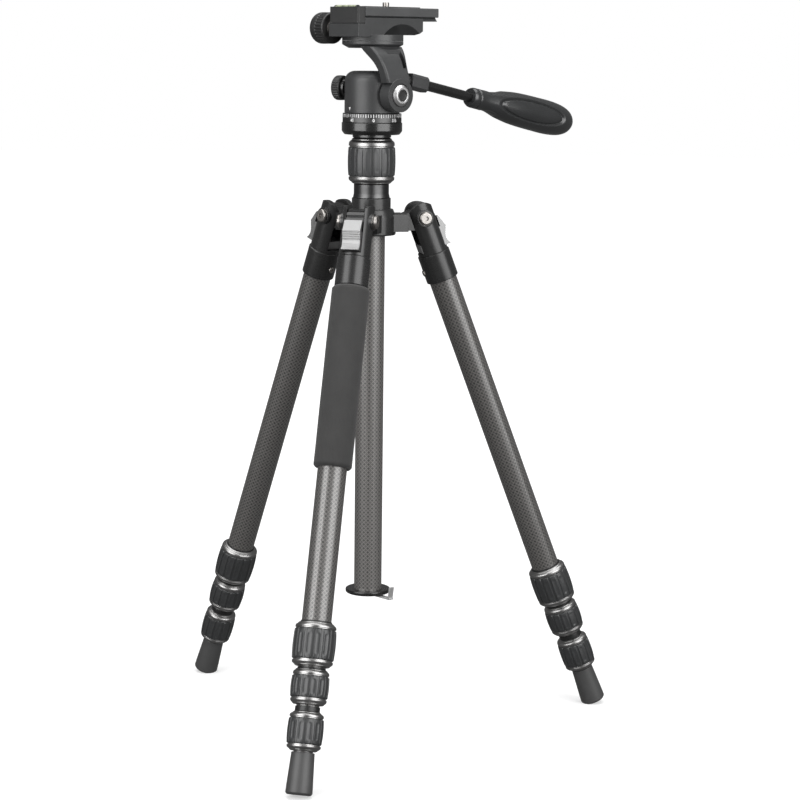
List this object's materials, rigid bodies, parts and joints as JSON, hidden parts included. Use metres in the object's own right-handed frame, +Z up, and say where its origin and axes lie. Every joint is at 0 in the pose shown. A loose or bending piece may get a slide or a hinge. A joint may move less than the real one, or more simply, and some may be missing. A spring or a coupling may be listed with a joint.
{
  "type": "photo tripod with pan head",
  "caption": "Travel camera tripod: hinged carbon-fibre legs with telescoping sections and twist locks, sliding centre column and a pan head with a handle and a quick-release plate.",
  "frame": {"origin": "on the floor, under the middle of the tripod's box", "axes": "+Z up along the centre column; the leg with the foam grip points to -Y; the other legs to +X and -X, both towards +Y"},
  "size_m": [0.454, 0.453, 0.7255],
  "materials": {
    "black_casting": "satin black anodised casting",
    "carbon_tube": "lacquered carbon fibre weave",
    "lock_collar": "ribbed rubber sleeve between dark polished metal bands",
    "rubber": "moulded dark grey rubber",
    "foam": "matte closed-cell foam",
    "polished_steel": "polished steel",
    "silver_tab": "brushed bright aluminium",
    "head_coat": "fine textured grey powder coat",
    "gloss_black": "gloss black",
    "scale_ring": "satin black with white degree marks",
    "knob_plastic": "moulded dark plastic, ribbed rim",
    "level_vial": "clear vial with pale liquid",
    "grip_plastic": "soft dark grey moulded grip"
  },
  "bodies": {
    "spider": {"spider": "black_casting", "hub_collet": "black_casting"},
    "column": {"column_tube": "carbon_tube", "column_top_plate": "black_casting", "column_end_cap": "black_casting", "pan_base": "gloss_black", "pan_scale": "scale_ring"},
    "column_lock": {"column_lock": "lock_collar"},
    "weight_hook": {"weight_hook": "polished_steel"},
    "pan_head": {"pan_housing": "head_coat"},
    "pan_knob": {"pan_knob": "knob_plastic"},
    "tilt_head": {"tilt_bracket": "head_coat", "tilt_cap": "polished_steel", "handle_clamp": "head_coat", "platform": "head_coat", "level_block": "head_coat", "level_vial": "level_vial"},
    "handle": {"handle_rod": "gloss_black", "handle_grip": "grip_plastic"},
    "clamp_jaw": {"clamp_jaw": "head_coat"},
    "clamp_knob": {"clamp_knob": "knob_plastic"},
    "quick_plate": {"quick_plate": "head_coat", "plate_pad": "rubber"},
    "camera_screw": {"camera_screw": "polished_steel"},
    "leg_front": {"leg_front_casting": "black_casting", "leg_front_pivot_screws": "polished_steel", "leg_front_tube_1": "carbon_tube", "foam_grip": "foam"},
    "leg_front_tab": {"leg_front_tab": "silver_tab"},
    "leg_front_lock_1": {"leg_front_lock_1": "lock_collar"},
    "leg_front_section_2": {"leg_front_tube_2": "carbon_tube"},
    "leg_front_lock_2": {"leg_front_lock_2": "lock_collar"},
    "leg_front_section_3": {"leg_front_tube_3": "carbon_tube"},
    "leg_front_lock_3": {"leg_front_lock_3": "lock_collar"},
    "leg_front_section_4": {"leg_front_tube_4": "carbon_tube", "leg_front_foot": "rubber"},
    "leg_right": {"leg_right_casting": "black_casting", "leg_right_pivot_screws": "polished_steel", "leg_right_tube_1": "carbon_tube"},
    "leg_right_tab": {"leg_right_tab": "silver_tab"},
    "leg_right_lock_1": {"leg_right_lock_1": "lock_collar"},
    "leg_right_section_2": {"leg_right_tube_2": "carbon_tube"},
    "leg_right_lock_2": {"leg_right_lock_2": "lock_collar"},
    "leg_right_section_3": {"leg_right_tube_3": "carbon_tube"},
    "leg_right_lock_3": {"leg_right_lock_3": "lock_collar"},
    "leg_right_section_4": {"leg_right_tube_4": "carbon_tube", "leg_right_foot": "rubber"},
    "leg_left": {"leg_left_casting": "black_casting", "leg_left_pivot_screws": "polished_steel", "leg_left_tube_1": "carbon_tube"},
    "leg_left_tab": {"leg_left_tab": "silver_tab"},
    "leg_left_lock_1": {"leg_left_lock_1": "lock_collar"},
    "leg_left_section_2": {"leg_left_tube_2": "carbon_tube"},
    "leg_left_lock_2": {"leg_left_lock_2": "lock_collar"},
    "leg_left_section_3": {"leg_left_tube_3": "carbon_tube"},
    "leg_left_lock_3": {"leg_left_lock_3": "lock_collar"},
    "leg_left_section_4": {"leg_left_tube_4": "carbon_tube", "leg_left_foot": "rubber"}
  },
  "joints": [
    {"name": "leg_front_fold", "type": "hinge", "parent": "spider", "child": "leg_front", "pos_m": [0, -0.01781, 0.51513], "axis": [-1, 0, 0], "range_deg": [-21.1, 58.9]},
    {"name": "leg_front_tab_slide", "type": "slide", "parent": "leg_front", "child": "leg_front_tab", "axis": [0, -0.933, 0.36], "range_m": [-0.002, 0.004]},
    {"name": "leg_front_lock_1_turn", "type": "hinge", "parent": "leg_front", "child": "leg_front_lock_1", "pos_m": [0, -0.16559, 0.13215], "axis": [0, -0.36, -0.933], "range_deg": [0, 90]},
    {"name": "leg_front_section_2_slide", "type": "slide", "parent": "leg_front", "child": "leg_front_section_2", "axis": [0, -0.36, -0.933], "range_m": [0, 0.31]},
    {"name": "leg_front_lock_2_turn", "type": "hinge", "parent": "leg_front_section_2", "child": "leg_front_lock_2", "pos_m": [0, -0.17977, 0.09539], "axis": [0, -0.36, -0.933], "range_deg": [0, 90]},
    {"name": "leg_front_section_3_slide", "type": "slide", "parent": "leg_front_section_2", "child": "leg_front_section_3", "axis": [0, -0.36, -0.933], "range_m": [0, 0.31]},
    {"name": "leg_front_lock_3_turn", "type": "hinge", "parent": "leg_front_section_3", "child": "leg_front_lock_3", "pos_m": [0, -0.1945, 0.05723], "axis": [0, -0.36, -0.933], "range_deg": [0, 90]},
    {"name": "leg_front_section_4_slide", "type": "slide", "parent": "leg_front_section_3", "child": "leg_front_section_4", "axis": [0, -0.36, -0.933], "range_m": [0, 0.31]},
    {"name": "leg_right_fold", "type": "hinge", "parent": "spider", "child": "leg_right", "pos_m": [0.04451, 0.05929, 0.51513], "axis": [0.5, -0.866, 0], "range_deg": [-21.1, 58.9]},
    {"name": "leg_right_tab_slide", "type": "slide", "parent": "leg_right", "child": "leg_right_tab", "axis": [0.808, 0.4665, 0.36], "range_m": [0, 0.006]},
    {"name": "leg_right_lock_1_turn", "type": "hinge", "parent": "leg_right", "child": "leg_right_lock_1", "pos_m": [0.17249, 0.13318, 0.13215], "axis": [0.3118, 0.18, -0.933], "range_deg": [0, 90]},
    {"name": "leg_right_section_2_slide", "type": "slide", "parent": "leg_right", "child": "leg_right_section_2", "axis": [0.3118, 0.18, -0.933], "range_m": [0, 0.31]},
    {"name": "leg_right_lock_2_turn", "type": "hinge", "parent": "leg_right_section_2", "child": "leg_right_lock_2", "pos_m": [0.18478, 0.14027, 0.09539], "axis": [0.3118, 0.18, -0.933], "range_deg": [0, 90]},
    {"name": "leg_right_section_3_slide", "type": "slide", "parent": "leg_right_section_2", "child": "leg_right_section_3", "axis": [0.3118, 0.18, -0.933], "range_m": [0, 0.31]},
    {"name": "leg_right_lock_3_turn", "type": "hinge", "parent": "leg_right_section_3", "child": "leg_right_lock_3", "pos_m": [0.19753, 0.14763, 0.05723], "axis": [0.3118, 0.18, -0.933], "range_deg": [0, 90]},
    {"name": "leg_right_section_4_slide", "type": "slide", "parent": "leg_right_section_3", "child": "leg_right_section_4", "axis": [0.3118, 0.18, -0.933], "range_m": [0, 0.31]},
    {"name": "leg_left_fold", "type": "hinge", "parent": "spider", "child": "leg_left", "pos_m": [-0.04451, 0.05929, 0.51513], "axis": [0.5, 0.866, 0], "range_deg": [-21.1, 58.9]},
    {"name": "leg_left_tab_slide", "type": "slide", "parent": "leg_left", "child": "leg_left_tab", "axis": [-0.808, 0.4665, 0.36], "range_m": [-0.002, 0.004]},
    {"name": "leg_left_lock_1_turn", "type": "hinge", "parent": "leg_left", "child": "leg_left_lock_1", "pos_m": [-0.17249, 0.13318, 0.13215], "axis": [-0.3118, 0.18, -0.933], "range_deg": [0, 90]},
    {"name": "leg_left_section_2_slide", "type": "slide", "parent": "leg_left", "child": "leg_left_section_2", "axis": [-0.3118, 0.18, -0.933], "range_m": [0, 0.31]},
    {"name": "leg_left_lock_2_turn", "type": "hinge", "parent": "leg_left_section_2", "child": "leg_left_lock_2", "pos_m": [-0.18478, 0.14027, 0.09539], "axis": [-0.3118, 0.18, -0.933], "range_deg": [0, 90]},
    {"name": "leg_left_section_3_slide", "type": "slide", "parent": "leg_left_section_2", "child": "leg_left_section_3", "axis": [-0.3118, 0.18, -0.933], "range_m": [0, 0.31]},
    {"name": "leg_left_lock_3_turn", "type": "hinge", "parent": "leg_left_section_3", "child": "leg_left_lock_3", "pos_m": [-0.19753, 0.14763, 0.05723], "axis": [-0.3118, 0.18, -0.933], "range_deg": [0, 90]},
    {"name": "leg_left_section_4_slide", "type": "slide", "parent": "leg_left_section_3", "child": "leg_left_section_4", "axis": [-0.3118, 0.18, -0.933], "range_m": [0, 0.31]},
    {"name": "column_slide", "type": "slide", "parent": "spider", "child": "column", "axis": [0, 0, 1], "range_m": [0, 0.345]},
    {"name": "column_lock_turn", "type": "hinge", "parent": "spider", "child": "column_lock", "pos_m": [0, 0.03359, 0.57163], "axis": [0, 0, -1], "range_deg": [0, 90]},
    {"name": "hook_swivel", "type": "hinge", "parent": "column", "child": "weight_hook", "pos_m": [0, 0.03359, 0.13413], "axis": [0, 0, 1], "continuous": true},
    {"name": "pan", "type": "hinge", "parent": "column", "child": "pan_head", "pos_m": [0, 0.03359, 0.61813], "axis": [0, 0, 1], "continuous": true},
    {"name": "pan_knob_turn", "type": "hinge", "parent": "pan_head", "child": "pan_knob", "pos_m": [-0.03389, 0.04235, 0.64213], "axis": [-0.9681, 0.2504, 0], "range_deg": [-270, 90]},
    {"name": "tilt", "type": "hinge", "parent": "pan_head", "child": "tilt_head", "pos_m": [0.02935, 0.01453, 0.63613], "axis": [0.8387, -0.5446, 0], "range_deg": [-40, 90]},
    {"name": "handle_twist", "type": "hinge", "parent": "tilt_head", "child": "handle", "pos_m": [0.04992, 0.04767, 0.64573], "axis": [0.5348, 0.8235, -0.1891], "range_deg": [-90, 180]},
    {"name": "clamp_knob_turn", "type": "hinge", "parent": "tilt_head", "child": "clamp_knob", "pos_m": [-0.04406, 0.03001, 0.70013], "axis": [-0.8387, 0.5446, 0], "range_deg": [0, 360]},
    {"name": "clamp_jaw_slide", "type": "slide", "parent": "tilt_head", "child": "clamp_jaw", "axis": [-0.8387, 0.5446, 0], "range_m": [0, 0.00125]},
    {"name": "plate_slide", "type": "slide", "parent": "tilt_head", "child": "quick_plate", "axis": [0.5446, 0.8387, 0], "range_m": [0, 0.05]},
    {"name": "camera_screw_turn", "type": "hinge", "parent": "quick_plate", "child": "camera_screw", "pos_m": [0.00926, 0.04785, 0.71513], "axis": [0, 0, 1], "continuous": true}
  ],
  "couplings": [
    {"joint": "clamp_knob_turn", "follows": "clamp_jaw_slide", "rad_per_m": 5026.5}
  ]
}
